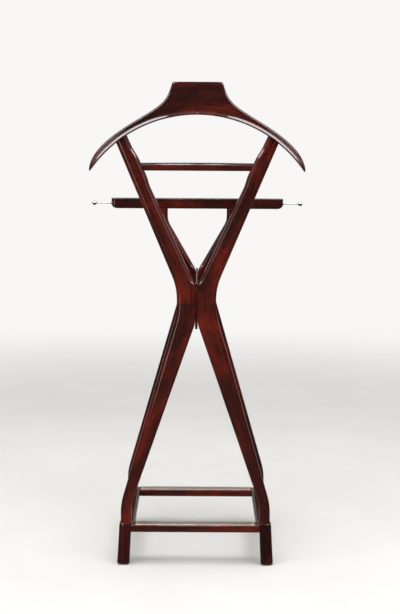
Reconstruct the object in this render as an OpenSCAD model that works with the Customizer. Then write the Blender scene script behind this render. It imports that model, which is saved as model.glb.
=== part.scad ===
// Valet stand: a shaped coat hanger on two crossed wooden frames, with a crossbar,
// a trouser bar with a sliding tie rod at each end, and two shoe rails.
// Millimetres. +Z is up and the front faces -Y. The origin is on the floor, under the
// middle of the stand.

/* [Overall] */
// Height from the floor to the top of the collar
stand_h = 1092; // [900:2:1320]
// Width of the hanger, tip to tip
hanger_w = 478; // [390:2:580]
// Distance between the front and rear frames, centre to centre
frame_gap = 295; // [235:5:355]

/* [Hanger] */
// Width of the collar at its top
collar_w = 110; // [80:1:140]
// Height of the collar above the crown of the arch
collar_h = 71; // [56:1:86]
// Drop from the crown of the arch to the hanger's tips
arch_drop = 127; // [102:1:152]
// Depth of the hanger, front to back, at its middle
hanger_d = 46; // [38:1:60]
// Depth of the hanger at its tips
tip_d = 28; // [20:1:36]
// Depth of the collar at its top
collar_d = 34; // [26:1:44]

/* [Frames] */
// Depth of the limbs, front to back
limb_d = 30; // [24:1:38]
// Width across the waist
waist_w = 88; // [76:1:110]
// Height of the seam at the waist
waist_z = 605; // [500:5:730]
// Height of the upper fork above the seam
fork_up = 38; // [30:1:60]
// Depth of the lower fork below the seam
fork_down = 47; // [30:1:70]
// Distance between the front arms at the hanger, centre to centre
arm_spread = 334; // [280:2:400]
// Width of a front arm at the hanger
arm_top_w = 30; // [24:1:38]
// Swelling of the front arms where the crossbar meets them
arm_swell = 3.3; // [0:0.1:6]
// Clear distance between the lower ends of the legs
leg_spread = 292; // [230:2:350]
// Width of a leg at its lower end
leg_end_w = 24; // [20:1:30]
// Height of the knee, where a leg turns upright
knee_z = 142; // [130:1:180]

/* [Waist board] */
// Thickness of the board
board_t = 6; // [4:0.5:10]
// Height of the board above the seam
board_up = 46; // [42:1:70]
// Depth of the board below the seam
board_down = 58; // [52:1:80]
// Setback of the board's ends from the faces of the frames
board_setback = 1; // [0.5:0.5:4]

/* [Crossbar] */
// Drop from the crown of the arch to the middle of the crossbar
crossbar_drop = 114; // [100:1:150]
// Height of the crossbar
crossbar_h = 17; // [13:0.5:22]
// Depth of the crossbar, front to back
crossbar_d = 18; // [14:0.5:26]
// Rise of the crossbar's top edge in the middle
crossbar_camber = 0.8; // [0:0.1:4]

/* [Trouser bar] */
// Length of the trouser bar
bar_w = 418; // [340:2:510]
// Height of the trouser bar
bar_h = 24.5; // [20:0.5:30]
// Depth of the trouser bar, front to back
bar_d = 30; // [24:1:40]
// Height of the trouser bar's underside above the floor
bar_z = 798; // [760:2:960]
// Distance between the uprights of the rear arms, centre to centre
post_spread = 176; // [150:2:210]
// Width of an upright
post_w = 32; // [26:1:38]
// Length of the uprights below the bar
post_h = 30; // [20:1:50]

/* [Tie rods] */
// Diameter of a tie rod
rod_d = 3; // [2:0.1:4]
// Diameter of the ball on a tie rod
ball_d = 11; // [8:0.5:16]
// Distance from the bar's end to the ball's centre at rest
rod_out = 42; // [41:1:60]
// How far a rod slides out from rest
rod_travel_out = 24; // [10:1:30]
// How far a rod slides in from rest
rod_travel_in = 35; // [20:1:35]
// Outer diameter of a bush
bush_d = 7; // [6:0.5:9]
// Length of a bush
bush_l = 16; // [10:1:20]
// How far a bush stands out of the bar's end
bush_proud = 1; // [0.5:0.5:2]
// Diameter of the stop collar on a rod's inner end
stop_d = 5.8; // [5:0.1:6]
// Length of a stop collar
stop_l = 5; // [4:0.5:8]

/* [Base] */
// Height of the top of a foot
foot_h = 98; // [97:1:120]
// Width of a foot at its top
foot_w = 27; // [25:1:34]
// Width of a foot at its bottom
foot_end_w = 28; // [18:1:32]
// Depth of a foot, front to back
foot_d = 30; // [26:1:38]
// How far a foot leans outwards over its height
foot_lean = 4.5; // [0:0.5:12]
// Height of the top of the shoe rails
rail_top = 96; // [80:1:96]
// Height of a shoe rail without its strip
rail_h = 18; // [12:0.5:22]
// Depth of a shoe rail, front to back
rail_d = 30; // [26:1:36]
// Width of a side rail
side_rail_w = 26; // [22:1:32]
// How far a side rail stands in from the feet
side_rail_in = 6; // [0:0.5:8]
// Thickness of the brass strips
strip_t = 1.5; // [1:0.25:3]
// Length of the brass strips
strip_l = 274; // [210:2:280]
// Depth of the brass strips, front to back
strip_d = 26; // [22:1:26]
// Diameter of a glide
glide_d = 14; // [10:1:18]
// Thickness of a glide
glide_t = 3; // [2:0.5:6]

/* [Fasteners] */
// Diameter of the dowels in the frames
dowel_d = 8; // [6:0.5:10]
// Diameter of the dowels in the rails and the crossbar
thin_dowel_d = 6; // [5:0.5:7]
// Diameter of a strip screw's head
screw_head_d = 5; // [4:0.5:6]
// Diameter of a strip screw's shank
screw_d = 2.4; // [2:0.1:3]
// Length of a strip screw
screw_l = 11; // [8:1:12]
// Radial room for glue round a dowel
glue_gap = 0.05; // [0.02:0.01:0.1]
// Free space at the end of a dowel's hole
end_gap = 0.5; // [0.2:0.1:1]
// Radial running clearance of the tie rods
run_gap = 0.05; // [0.02:0.01:0.1]

/* [Hidden] */
// Points on each rounded bend and on each long curve
BEND_STEPS = 8;
CURVE_STEPS = 20;
// Facets of round pieces, all rebuilt as true cylinders
$fn = 48;

// The stand's box runs from the hanger's front to the trouser bar's back
front_y = -(frame_gap + bar_d / 2 - hanger_d / 2) / 2;
rear_y = front_y + frame_gap;

// Arch under the hanger: a true cylinder along Y
crown_z = stand_h - collar_h;
tip_x = hanger_w / 2;
arch_r = (tip_x * tip_x + arch_drop * arch_drop) / (2 * arch_drop);
arch_z = crown_z - arch_r;
tip_z = crown_z - arch_drop;

// Upper outline of the hanger: the collar's flank, then the shoulder
flank_w = 63;
flank_h = 74;
flank_end = [collar_w / 2 + flank_w, stand_h - flank_h];

// Front arms: straight from the fork to the hanger
fork_z = waist_z + fork_up;
arm_bend_z = waist_z + 35;
arm_end_z = arch_z + sqrt(arch_r * arch_r - arm_spread * arm_spread / 4);
arm_in_end = (arm_spread - arm_top_w) / 2;
arm_out_end = (arm_spread + arm_top_w) / 2;
crossbar_z = crown_z - crossbar_drop;
swell_half_h = 22;
swell_fade_h = 18;

// Legs and feet
leg_in_x = leg_spread / 2;
leg_out_x = leg_in_x + leg_end_w;
leg_bend_z = waist_z - 24;
low_fork_z = waist_z - fork_down;

// Rear arms: out from the fork, then upright under the trouser bar
rear_fork_z = fork_z + 5;
post_in_x = (post_spread - post_w) / 2;
post_out_x = (post_spread + post_w) / 2;
post_bend_z = bar_z - post_h;
post_outer_drop = 9;

// Trouser bar and tie rods
rod_z = bar_z + bar_h / 2;
bar_end_x = bar_w / 2;
bar_corner = 11;
bush_in_x = bar_end_x + bush_proud - bush_l;
stop_gap = 0.3;
stop_out_x = bush_in_x - rod_travel_out - stop_gap;
rod_in_x = stop_out_x - stop_l;
ball_x = bar_end_x + rod_out;
bore_d = stop_d + 4 * run_gap;
bore_end_x = rod_in_x - rod_travel_in - 2;

// Rails
rail_z = rail_top - strip_t - rail_h;
rail_mid_z = rail_z + rail_h / 2;
screw_edge = 6;
screw_pitch = 13;

// Dowel depths into each piece
waist_dowel_l = 44;
waist_dowel_x = waist_w / 4 + 4;
board_dowel_l = 40;
board_dowel_off = 22;
hanger_dowel_in = 8;
hanger_dowel_down = 20;
seam_dowel_l = 50;
crossbar_dowel_l = 26;
bar_dowel_down = 20;
bar_dowel_up = 14;
foot_dowel_l = 36;
side_dowel_foot = 7;
shoe_dowel_foot = 5;
rail_dowel_in = 14;
nail_d = 2.4;
nail_l = 14;

// ---- Outline helpers ----

function unit(v) = v / norm(v);

// A bend at p between a and b that starts run away from p along each edge
function bend(a, p, b, run) =
    let(s = p + run * unit(a - p), e = p + run * unit(b - p))
    [for (i = [0:BEND_STEPS])
        let(t = i / BEND_STEPS)
        s * (1 - t) * (1 - t) + p * 2 * t * (1 - t) + e * t * t];

function flat(p) = [p[0], p[1]];

// A closed outline from corners given as [x, z, run]; a run of 0 leaves a sharp corner
function outline(c) =
    let(n = len(c))
    [for (i = [0:n - 1])
        each (c[i][2] == 0
            ? [flat(c[i])]
            : bend(flat(c[(i + n - 1) % n]), flat(c[i]), flat(c[(i + 1) % n]), c[i][2]))];

// A cubic curve from a to d with handles b and c
function curve(a, b, c, d) =
    [for (i = [0:CURVE_STEPS])
        let(t = i / CURVE_STEPS, u = 1 - t)
        a * u * u * u + b * 3 * u * u * t + c * 3 * u * t * t + d * t * t * t];

// Places on the straight edges
function arm_in(z) =
    board_t / 2 + (z - fork_z) * (arm_in_end - board_t / 2) / (arm_end_z - fork_z);
function arm_out(z) =
    waist_w / 2 + (z - arm_bend_z) * (arm_out_end - waist_w / 2) / (arm_end_z - arm_bend_z);
function arm_face(z) = arm_in(z) - arm_swell;
function foot_in(z) = leg_in_x + foot_lean * (foot_h - z) / (foot_h - glide_t);

// ---- Placing helpers ----

// Extrudes an outline drawn in X and Z to a slab of depth d, centred on y
module slab(points, d, y) {
    translate([0, y + d / 2, 0])
        rotate([90, 0, 0])
            linear_extrude(d)
                polygon(points);
}

module both_sides() {
    children();
    mirror([1, 0, 0]) children();
}

module on_side(side) {
    if (side < 0) mirror([1, 0, 0]) children();
    else children();
}

module at_frames() {
    for (y = [front_y, rear_y]) translate([0, y, 0]) children();
}

// A pin of length l along +X from x, with room r all round and e at both ends
module pin_x(x, z, d, l, r = 0, e = 0) {
    translate([x - e, 0, z]) rotate([0, 90, 0]) cylinder(d = d + 2 * r, h = l + 2 * e);
}

// A pin of length l along +Z from z, with the same room
module pin_z(x, z, d, l, r = 0, e = 0) {
    translate([x, 0, z - e]) cylinder(d = d + 2 * r, h = l + 2 * e);
}

// ---- Dowels: each set is drawn once, for the pins and, with room, for their holes ----

module seam_pins(r = 0, e = 0) {
    translate([0, front_y, 0])
        for (up = [18, 46])
            pin_x(-seam_dowel_l / 2, crown_z + up, dowel_d, seam_dowel_l, r, e);
}

// The hanger dowels point at the centre of the arch
module hanger_pins(r = 0, e = 0) {
    lean = asin(arm_spread / 2 / arch_r);
    both_sides()
        translate([0, front_y, arch_z])
            rotate([0, lean, 0])
                pin_z(0, arch_r - hanger_dowel_down, dowel_d,
                    hanger_dowel_down + hanger_dowel_in, r, e);
}

module crossbar_pins(r = 0, e = 0) {
    both_sides()
        translate([0, front_y, 0])
            pin_x(arm_face(crossbar_z) - crossbar_dowel_l / 2, crossbar_z,
                thin_dowel_d, crossbar_dowel_l, r, e);
}

module waist_pins(r = 0, e = 0) {
    both_sides()
        at_frames()
            pin_z(waist_dowel_x, waist_z - waist_dowel_l / 2, dowel_d, waist_dowel_l, r, e);
}

module board_pins(r = 0, e = 0) {
    at_frames()
        for (up = [-board_dowel_off, board_dowel_off])
            pin_x(-board_dowel_l / 2, waist_z + up, thin_dowel_d, board_dowel_l, r, e);
}

module bar_pins(r = 0, e = 0) {
    both_sides()
        translate([0, rear_y, 0])
            pin_z(post_spread / 2, bar_z - bar_dowel_down, dowel_d,
                bar_dowel_down + bar_dowel_up, r, e);
}

module foot_pins(r = 0, e = 0) {
    both_sides()
        at_frames()
            pin_z(leg_in_x + leg_end_w / 2, foot_h - foot_dowel_l / 2, dowel_d,
                foot_dowel_l, r, e);
}

module side_pins(r = 0, e = 0) {
    x = leg_in_x + side_rail_w / 2 - side_rail_in / 2;
    both_sides()
        for (end = [[front_y, 1], [rear_y, -1]])
            translate([x, end[0] + end[1] * (foot_d / 2 - side_dowel_foot - e), rail_mid_z])
                rotate([-90 * end[1], 0, 0])
                    cylinder(d = thin_dowel_d + 2 * r, h = side_dowel_foot + rail_dowel_in + 2 * e);
}

module shoe_pins(r = 0, e = 0) {
    both_sides()
        at_frames()
            pin_x(foot_in(rail_mid_z) - rail_dowel_in, rail_mid_z, thin_dowel_d,
                rail_dowel_in + shoe_dowel_foot, r, e);
}

module dowel_holes() {
    seam_pins(glue_gap, end_gap);
    hanger_pins(glue_gap, end_gap);
    crossbar_pins(glue_gap, end_gap);
    waist_pins(glue_gap, end_gap);
    board_pins(glue_gap, end_gap);
    bar_pins(glue_gap, end_gap);
    foot_pins(glue_gap, end_gap);
    side_pins(glue_gap, end_gap);
    shoe_pins(glue_gap, end_gap);
}

// ---- Hanger ----

module arch(d) {
    translate([0, front_y + d / 2, arch_z])
        rotate([90, 0, 0])
            cylinder(r = arch_r, h = d, $fn = 180);
}

// All the space under the arch, down to the floor
module under_arch(d) {
    arch(d);
    translate([-arch_r, front_y - d / 2, 0])
        cube([2 * arch_r, d, arch_z]);
}

function hanger_side() =
    concat(
        [[0, stand_h]],
        curve([collar_w / 2, stand_h],
            [collar_w / 2 + 0.16 * flank_w, stand_h - 0.52 * flank_h],
            [collar_w / 2 + 0.3 * flank_w, stand_h - 0.64 * flank_h],
            flank_end),
        curve(flank_end,
            flank_end + [0.75 * flank_w, -0.386 * flank_h],
            [tip_x, tip_z + 55],
            [tip_x, tip_z]),
        [[0, tip_z]]);

// Seen from above, the hanger narrows to its tips
function hanger_plan() =
    outline([
        [0, -hanger_d / 2, 0], [tip_x / 2, -hanger_d / 2, 60], [tip_x, -tip_d / 2, 10],
        [tip_x, tip_d / 2, 10], [tip_x / 2, hanger_d / 2, 60], [0, hanger_d / 2, 0]]);

// Seen from the end, the collar narrows to its top
function hanger_end() = [
    [-hanger_d / 2, tip_z], [-hanger_d / 2, crown_z + 4], [-collar_d / 2, stand_h],
    [collar_d / 2, stand_h], [hanger_d / 2, crown_z + 4], [hanger_d / 2, tip_z]];

module hanger_half(side) {
    on_side(side)
        difference() {
            intersection() {
                slab(hanger_side(), hanger_d, front_y);
                translate([0, front_y, tip_z])
                    linear_extrude(stand_h - tip_z)
                        polygon(hanger_plan());
                translate([0, front_y, 0])
                    rotate([90, 0, 90])
                        linear_extrude(tip_x)
                            polygon(hanger_end());
            }
            arch(hanger_d + 2);
            seam_pins(glue_gap, end_gap);
            hanger_pins(glue_gap, end_gap);
        }
}

module hanger_left() { color("#3d1510") hanger_half(-1); }
module hanger_right() { color("#43170f") hanger_half(1); }
module seam_dowels() { color("tan") seam_pins(); }
module hanger_dowels() { color("tan") hanger_pins(); }

// ---- Front arms and crossbar ----

module front_arm(side) {
    swell_low = crossbar_z - swell_half_h;
    swell_high = crossbar_z + swell_half_h;
    fade_low = swell_low - swell_fade_h;
    fade_high = swell_high + swell_fade_h;
    on_side(side)
        difference() {
            intersection() {
                slab(outline([
                    [board_t / 2, waist_z, 0],
                    [board_t / 2, fork_z, 6],
                    [arm_in(fade_low), fade_low, 8],
                    [arm_face(swell_low), swell_low, 8],
                    [arm_face(swell_high), swell_high, 8],
                    [arm_in(fade_high), fade_high, 8],
                    [arm_in(crown_z), crown_z, 0],
                    [arm_out(crown_z), crown_z, 0],
                    [waist_w / 2, arm_bend_z, 28],
                    [waist_w / 2, waist_z, 0]]), limb_d, front_y);
                under_arch(limb_d + 2);
            }
            dowel_holes();
        }
}

module front_arm_left() { color("#4a1a12") front_arm(-1); }
module front_arm_right() { color("#4f1c13") front_arm(1); }

// The crossbar's ends lie against the arms' inner faces
module crossbar() {
    low = crossbar_z - crossbar_h / 2;
    high = crossbar_z + crossbar_h / 2;
    color("#5a2016")
        difference() {
            slab(outline([
                [-arm_face(low), low, 0],
                [arm_face(low), low, 0],
                [arm_face(high), high, 0],
                [0, high + 2 * crossbar_camber, arm_face(high) * 0.8],
                [-arm_face(high), high, 0]]), crossbar_d, front_y);
            crossbar_pins(glue_gap, end_gap);
        }
}

module crossbar_dowels() { color("tan") crossbar_pins(); }

// ---- Legs ----

module leg(side, y) {
    on_side(side)
        difference() {
            slab(outline([
                [board_t / 2, waist_z, 0],
                [board_t / 2, low_fork_z, 6],
                [leg_in_x, knee_z, 16],
                [leg_in_x, foot_h, 0],
                [leg_out_x, foot_h, 0],
                [leg_out_x, knee_z, 18],
                [waist_w / 2, leg_bend_z, 22],
                [waist_w / 2, waist_z, 0]]), limb_d, y);
            dowel_holes();
        }
}

module front_leg_left() { color("#431710") leg(-1, front_y); }
module front_leg_right() { color("#4a1a12") leg(1, front_y); }
module rear_leg_left() { color("#3a140e") leg(-1, rear_y); }
module rear_leg_right() { color("#3d1510") leg(1, rear_y); }

// ---- Rear arms ----

module rear_arm(side) {
    on_side(side)
        difference() {
            slab(outline([
                [board_t / 2, waist_z, 0],
                [board_t / 2, rear_fork_z, 6],
                [post_in_x, post_bend_z, 12],
                [post_in_x, bar_z, 0],
                [post_out_x, bar_z, 0],
                [post_out_x, post_bend_z - post_outer_drop, 16],
                [waist_w / 2, arm_bend_z, 22],
                [waist_w / 2, waist_z, 0]]), limb_d, rear_y);
            dowel_holes();
        }
}

module rear_arm_left() { color("#3a140e") rear_arm(-1); }
module rear_arm_right() { color("#3d1510") rear_arm(1); }

// ---- Waist board ----

module waist_board() {
    depth = frame_gap + limb_d - 2 * board_setback;
    color("#2e100b")
        difference() {
            translate([-board_t / 2, (front_y + rear_y - depth) / 2, waist_z - board_down])
                cube([board_t, depth, board_down + board_up]);
            board_pins(glue_gap, 0);
        }
}

module board_dowels() { color("tan") board_pins(); }
module waist_dowels() { color("tan") waist_pins(); }

// ---- Trouser bar and tie rods ----

module trouser_bar() {
    color("#431710")
        difference() {
            slab(outline([
                [-bar_end_x, bar_z, bar_corner],
                [bar_end_x, bar_z, bar_corner],
                [bar_end_x, bar_z + bar_h, 0],
                [-bar_end_x, bar_z + bar_h, 0]]), bar_d, rear_y);
            both_sides()
                translate([0, rear_y, 0]) {
                    pin_x(bore_end_x, rod_z, bore_d, bar_w);
                    pin_x(bush_in_x, rod_z, bush_d, bar_w, glue_gap);
                }
            bar_pins(glue_gap, end_gap);
        }
}

module bar_dowels() { color("tan") bar_pins(); }

module bush(side) {
    on_side(side)
        translate([0, rear_y, 0])
            difference() {
                pin_x(bush_in_x, rod_z, bush_d, bush_l);
                pin_x(bush_in_x - 1, rod_z, rod_d, bush_l + 2, run_gap);
            }
}

// A rod runs from its stop to just past the middle of its ball
module tie_rod(side) {
    on_side(side)
        translate([0, rear_y, 0])
            pin_x(rod_in_x, rod_z, rod_d, ball_x + rod_d / 2 - rod_in_x);
}

module rod_ball(side) {
    on_side(side)
        translate([0, rear_y, 0])
            difference() {
                translate([ball_x, 0, rod_z]) sphere(d = ball_d);
                pin_x(ball_x - ball_d, rod_z, rod_d, ball_d + rod_d / 2, glue_gap);
            }
}

module rod_stop(side) {
    on_side(side)
        translate([0, rear_y, 0])
            difference() {
                pin_x(rod_in_x, rod_z, stop_d, stop_l);
                pin_x(rod_in_x - 1, rod_z, rod_d, stop_l + 2, glue_gap);
            }
}

module left_bush() { color("#a5a29b") bush(-1); }
module right_bush() { color("#a5a29b") bush(1); }
module left_tie_rod() { color("#b9b5ac") tie_rod(-1); }
module right_tie_rod() { color("#b9b5ac") tie_rod(1); }
module left_rod_ball() { color("#b9b5ac") rod_ball(-1); }
module right_rod_ball() { color("#b9b5ac") rod_ball(1); }
module left_rod_stop() { color("#a5a29b") rod_stop(-1); }
module right_rod_stop() { color("#a5a29b") rod_stop(1); }

// ---- Feet and glides ----

module foot(side, y) {
    on_side(side)
        difference() {
            slab([
                [leg_in_x, foot_h],
                [leg_in_x + foot_w, foot_h],
                [foot_in(glide_t) + foot_end_w, glide_t],
                [foot_in(glide_t), glide_t]], foot_d, y);
            dowel_holes();
            translate([0, y, 0]) glide(glue_gap, end_gap);
        }
}

// A nailed glide under the middle of the right foot
module glide(r = 0, e = 0) {
    x = foot_in(glide_t) + foot_end_w / 2;
    pin_z(x, 0, glide_d, glide_t);
    pin_z(x, glide_t / 2, nail_d, nail_l, r, e);
}

module front_left_foot() { color("#3d1510") foot(-1, front_y); }
module front_right_foot() { color("#3d1510") foot(1, front_y); }
module rear_left_foot() { color("#3a140e") foot(-1, rear_y); }
module rear_right_foot() { color("#3a140e") foot(1, rear_y); }
module foot_dowels() { color("tan") foot_pins(); }

module glides() {
    color("#e8e4da")
        both_sides()
            at_frames()
                glide();
}

// ---- Rails, strips and screws ----

module side_rail(side) {
    on_side(side)
        difference() {
            translate([leg_in_x - side_rail_in, front_y + foot_d / 2, rail_z])
                cube([side_rail_w, frame_gap - foot_d, rail_h]);
            side_pins(glue_gap, end_gap);
        }
}

module left_side_rail() { color("#3a140e") side_rail(-1); }
module right_side_rail() { color("#3a140e") side_rail(1); }
module side_rail_dowels() { color("tan") side_pins(); }

// The shoe rail's ends lie against the leaning inner faces of the feet
module shoe_rail(y) {
    high = rail_z + rail_h;
    difference() {
        slab([
            [-foot_in(rail_z), rail_z], [foot_in(rail_z), rail_z],
            [foot_in(high), high], [-foot_in(high), high]], rail_d, y);
        shoe_pins(glue_gap, end_gap);
        translate([0, y, 0]) screw_set(glue_gap, end_gap);
    }
}

module shoe_strip(y) {
    difference() {
        translate([-strip_l / 2, y - strip_d / 2, rail_top - strip_t])
            cube([strip_l, strip_d, strip_t]);
        translate([0, y, 0]) screw_set(glue_gap, end_gap);
    }
}

// Four countersunk screws on one strip
module screw_set(r = 0, e = 0) {
    for (x = [-strip_l / 2 + screw_edge, strip_l / 2 - screw_edge])
        for (y = [-screw_pitch / 2, screw_pitch / 2])
            translate([x, y, rail_top]) {
                translate([0, 0, -strip_t])
                    cylinder(d1 = screw_d + 2 * r, d2 = screw_head_d + 2 * r, h = strip_t);
                translate([0, 0, -screw_l - e])
                    cylinder(d = screw_d + 2 * r, h = screw_l + e - strip_t / 2);
            }
}

module front_shoe_rail() { color("#54201a") shoe_rail(front_y); }
module rear_shoe_rail() { color("#4a1a12") shoe_rail(rear_y); }
module shoe_rail_dowels() { color("tan") shoe_pins(); }
module front_shoe_strip() { color("#c8a98c") shoe_strip(front_y); }
module rear_shoe_strip() { color("#c8a98c") shoe_strip(rear_y); }

module strip_screws() {
    color("#a8895f")
        at_frames()
            screw_set();
}

hanger_left();
hanger_right();
seam_dowels();
hanger_dowels();
front_arm_left();
front_arm_right();
crossbar();
crossbar_dowels();
front_leg_left();
front_leg_right();
rear_arm_left();
rear_arm_right();
rear_leg_left();
rear_leg_right();
waist_board();
board_dowels();
waist_dowels();
trouser_bar();
bar_dowels();
left_bush();
right_bush();
left_tie_rod();
right_tie_rod();
left_rod_ball();
right_rod_ball();
left_rod_stop();
right_rod_stop();
front_left_foot();
front_right_foot();
rear_left_foot();
rear_right_foot();
foot_dowels();
left_side_rail();
right_side_rail();
side_rail_dowels();
front_shoe_rail();
rear_shoe_rail();
shoe_rail_dowels();
front_shoe_strip();
rear_shoe_strip();
strip_screws();
glides();
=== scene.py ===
"""Looks of the valet stand: wood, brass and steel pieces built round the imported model.

Metres. +Z is up and the stand's front faces -Y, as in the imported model.
"""

import math
import random

import bmesh
import bpy
import numpy as np
from mathutils import Matrix, Vector

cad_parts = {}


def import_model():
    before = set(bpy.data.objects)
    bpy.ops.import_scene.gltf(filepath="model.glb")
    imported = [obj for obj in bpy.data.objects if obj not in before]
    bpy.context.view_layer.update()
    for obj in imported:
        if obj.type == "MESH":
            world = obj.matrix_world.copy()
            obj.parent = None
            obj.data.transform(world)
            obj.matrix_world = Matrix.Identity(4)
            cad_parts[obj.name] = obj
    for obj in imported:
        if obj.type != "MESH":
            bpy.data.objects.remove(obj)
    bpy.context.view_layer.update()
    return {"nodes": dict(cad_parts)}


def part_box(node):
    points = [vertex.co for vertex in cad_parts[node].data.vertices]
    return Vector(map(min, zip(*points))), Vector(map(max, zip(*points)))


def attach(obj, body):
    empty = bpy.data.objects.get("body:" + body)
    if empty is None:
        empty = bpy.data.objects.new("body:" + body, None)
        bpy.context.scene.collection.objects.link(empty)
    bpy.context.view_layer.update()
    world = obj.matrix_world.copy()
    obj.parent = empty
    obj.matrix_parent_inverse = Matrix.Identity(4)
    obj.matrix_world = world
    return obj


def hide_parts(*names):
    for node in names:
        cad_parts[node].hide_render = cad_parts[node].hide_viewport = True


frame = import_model()

MM = 0.001
# Turned pieces end in a ring of this radius round their axis
TIP = 0.02 * MM
# Edges that turn by more degrees than these stay sharp
SHARP_WOOD, SHARP_BAR, SHARP_METAL = 38, 35, 32
SIDES = {"left": -1, "right": 1}
X, Y, Z = range(3)

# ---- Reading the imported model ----


def edges_of(node):
    """The start and end points of a CAD node's edges."""
    mesh = frame["nodes"][node].data
    points = np.empty(len(mesh.vertices) * 3)
    mesh.vertices.foreach_get("co", points)
    ends = np.empty(len(mesh.edges) * 2, int)
    mesh.edges.foreach_get("vertices", ends)
    return points.reshape(-1, 3)[ends.reshape(-1, 2)]


def span(edges, axis, at, along):
    """The lowest and highest place, along one axis, where the edges cross a plane."""
    a, b = edges[:, 0], edges[:, 1]
    low, high = np.minimum(a, b)[:, axis], np.maximum(a, b)[:, axis]
    crossing = (low <= at) & (high >= at) & (high - low > 1e-9)
    a, b = a[crossing], b[crossing]
    share = ((at - a[:, axis]) / (b[:, axis] - a[:, axis]))[:, None]
    hits = (a + share * (b - a))[:, along]
    return hits.min(), hits.max()


def solids_of(node):
    """The low and high corners of a CAD node's separate solids, in a fixed order."""
    bm = bmesh.new()
    bm.from_mesh(frame["nodes"][node].data)
    bmesh.ops.remove_doubles(bm, verts=bm.verts, dist=1e-6)
    boxes, seen = [], set()
    for seed in bm.verts:
        if seed in seen:
            continue
        seen.add(seed)
        solid, queue = [], [seed]
        while queue:
            vertex = queue.pop()
            solid.append(vertex.co[:])
            for edge in vertex.link_edges:
                other = edge.other_vert(vertex)
                if other not in seen:
                    seen.add(other)
                    queue.append(other)
        boxes.append((Vector(np.min(solid, 0)), Vector(np.max(solid, 0))))
    bm.free()
    return sorted(boxes, key=lambda box: tuple(round(c, 4) for c in box[0]))


# ---- Building blocks ----

# An eased corner is a chamfer with soft arrises: a superellipse between 1 and 2
EASE_POWER = 2 / 1.45
EASE_STEPS = 9
EASE_ANGLES = np.linspace(0, math.pi / 2, EASE_STEPS)
SUPPORT = 0.7 * MM


def arris_wear(angles):
    """Wear on an eased corner: most on its two arrises."""
    return np.clip(1 - np.minimum(angles, math.pi / 2 - angles) / 0.5, 0, 1)


def corner_points(corner, along, into, across, deep, power=EASE_POWER):
    """Points and wear of an eased corner, from `across` along one edge to `deep` on the next."""
    u = across * (1 - np.sin(EASE_ANGLES) ** power)
    v = deep * (1 - np.cos(EASE_ANGLES) ** power)
    points = np.outer(u, along) + np.outer(v, into) + corner
    return points, arris_wear(EASE_ANGLES)


def section(w, d, corners, inset=0.0, crown=0.12 * MM):
    """A closed ring (u, v, wear) of a w by d section whose four corners are eased.

    The corners are (across, deep), with a power of 1 for a true round, from the inner
    front one, round by the outer front one.
    """
    i = inset
    right, away = np.array([1.0, 0.0]), np.array([0.0, 1.0])
    places = [
        ((i, i), away, right, 1),
        ((w - i, i), -right, away, 0),
        ((w - i, d - i), -away, -right, 1),
        ((i, d - i), right, -away, 0),
    ]
    rings = []
    for (corner, along, into, turned), (across, deep, *power) in zip(places, corners):
        first, second = (deep, across) if turned else (across, deep)
        first, second = max(first - 0.4 * i, 0.1 * MM), max(second - 0.4 * i, 0.1 * MM)
        points, wear = corner_points(np.array(corner), along, into, first, second, *power)
        rings.append(np.column_stack([points, wear]))
    ring = []
    for k, corner_ring in enumerate(rings):
        following = rings[(k + 1) % 4][0]
        last = corner_ring[-1]
        step = following[:2] - last[:2]
        length = max(np.hypot(*step), 1e-9)
        near = min(SUPPORT / length, 0.3)
        ring.append(corner_ring)
        for share in (near, 0.5, 1 - near):
            ring.append(np.array([[*(last[:2] + share * step), 0.0]]))
    ring = np.vstack(ring)
    middle = np.array([w / 2, d / 2])
    # Sanded faces are a little hollow at their borders, so they keep inside the outline
    reach = np.abs(ring[:, :2] - middle) / np.maximum(middle, 1e-9)
    for axis, other in ((0, 1), (1, 0)):
        pull = crown * np.clip(reach[:, axis], 0, 1) ** 4 * reach[:, other] ** 2
        ring[:, axis] -= np.sign(ring[:, axis] - middle[axis]) * pull
    return ring


def make_mesh(name, points, faces, grain, wear, tone_and_shade=0.0):
    """A smooth-shaded wooden mesh piece with its grain coordinates, wear and tone; the tone picks
    between painted shaded and lit copies of the wood.
    """
    mesh = bpy.data.meshes.new(name)
    mesh.from_pydata([tuple(p) for p in points], [], faces)
    add_attributes(mesh, grain, wear, tone_and_shade)
    return finish_mesh(name, mesh)


def add_attributes(mesh, grain, wear, tone_and_shade):
    count = len(mesh.vertices)
    mesh.attributes.new("grain", "FLOAT_VECTOR", "POINT").data.foreach_set(
        "vector", np.asarray(grain, np.float32).ravel()
    )
    for attribute, values in (("wear", wear), ("tone_and_shade", np.full(count, tone_and_shade))):
        mesh.attributes.new(attribute, "FLOAT", "POINT").data.foreach_set(
            "value", np.asarray(values, np.float32)
        )


def finish_mesh(name, mesh, sharp=SHARP_WOOD):
    """Closes up a mesh's normals and shading, and makes its object."""
    bm = bmesh.new()
    bm.from_mesh(mesh)
    bmesh.ops.remove_doubles(bm, verts=bm.verts, dist=1e-6)
    bmesh.ops.dissolve_degenerate(bm, edges=bm.edges, dist=1e-6)
    bmesh.ops.recalc_face_normals(bm, faces=bm.faces)
    bm.to_mesh(mesh)
    bm.free()
    mesh.polygons.foreach_set("use_smooth", [True] * len(mesh.polygons))
    mesh.set_sharp_from_angle(angle=math.radians(sharp))
    piece = bpy.data.objects.new(name, mesh)
    bpy.context.scene.collection.objects.link(piece)
    return piece


def ring_faces(rings, around, closed_ends=True):
    """Faces of a loft of `rings` rings with `around` points each."""
    faces = []
    for r in range(rings - 1):
        for k in range(around):
            following = (k + 1) % around
            faces.append(
                (
                    r * around + k,
                    r * around + following,
                    (r + 1) * around + following,
                    (r + 1) * around + k,
                )
            )
    if closed_ends:
        faces.append(tuple(range(around)))
        faces.append(tuple(range((rings - 1) * around, rings * around)))
    return faces


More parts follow.
